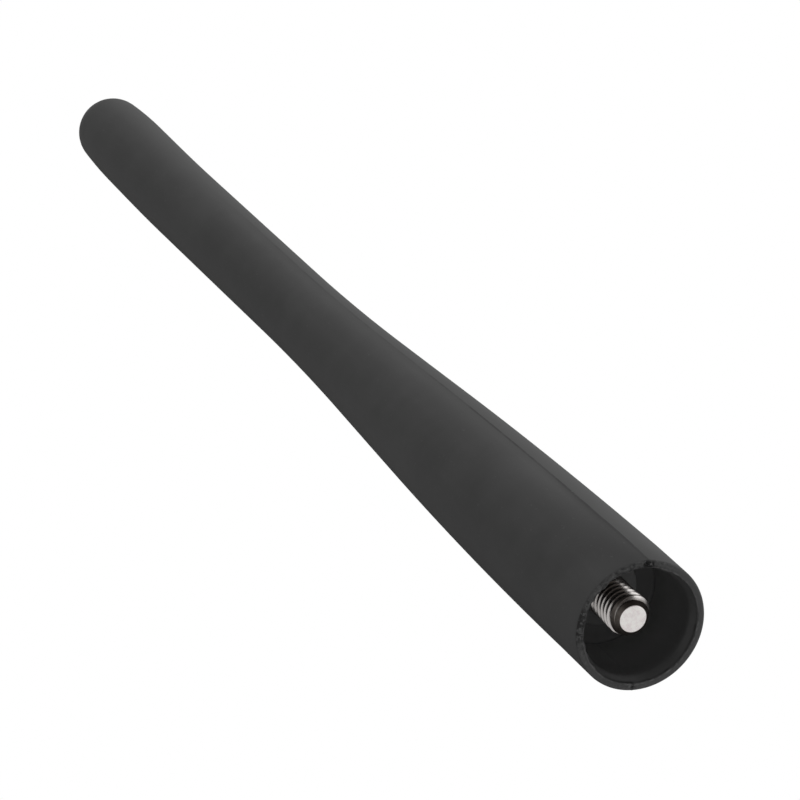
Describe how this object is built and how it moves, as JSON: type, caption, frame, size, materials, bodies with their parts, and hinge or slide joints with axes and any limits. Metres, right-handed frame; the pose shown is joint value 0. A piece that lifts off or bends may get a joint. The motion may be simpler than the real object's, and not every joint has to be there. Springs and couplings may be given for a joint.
{
  "type": "car mast aerial",
  "caption": "Short flexible car aerial mast: a charcoal rubber sheath that flares to an open skirt, with a bright threaded stud set back in its foot.",
  "frame": {"origin": "centre of the foot's rim, on the plane where it meets the roof base", "axes": "+Z along the mast from foot to tip, X and Y across it, with the mould's parting line at plus and minus X"},
  "size_m": [0.0186, 0.0186, 0.217],
  "materials": {
    "sheath_rubber": "satin moulded",
    "plated_steel": "bright nickel plate",
    "ferrule_brass": "turned",
    "rod_glass_fibre": "matte",
    "winding_copper": "bright copper"
  },
  "bodies": {
    "root": {"rubber_sheath": "sheath_rubber", "threaded_stud": "plated_steel", "ferrule": "ferrule_brass", "core_rod": "rod_glass_fibre", "copper_winding": "winding_copper"}
  },
  "joints": []
}
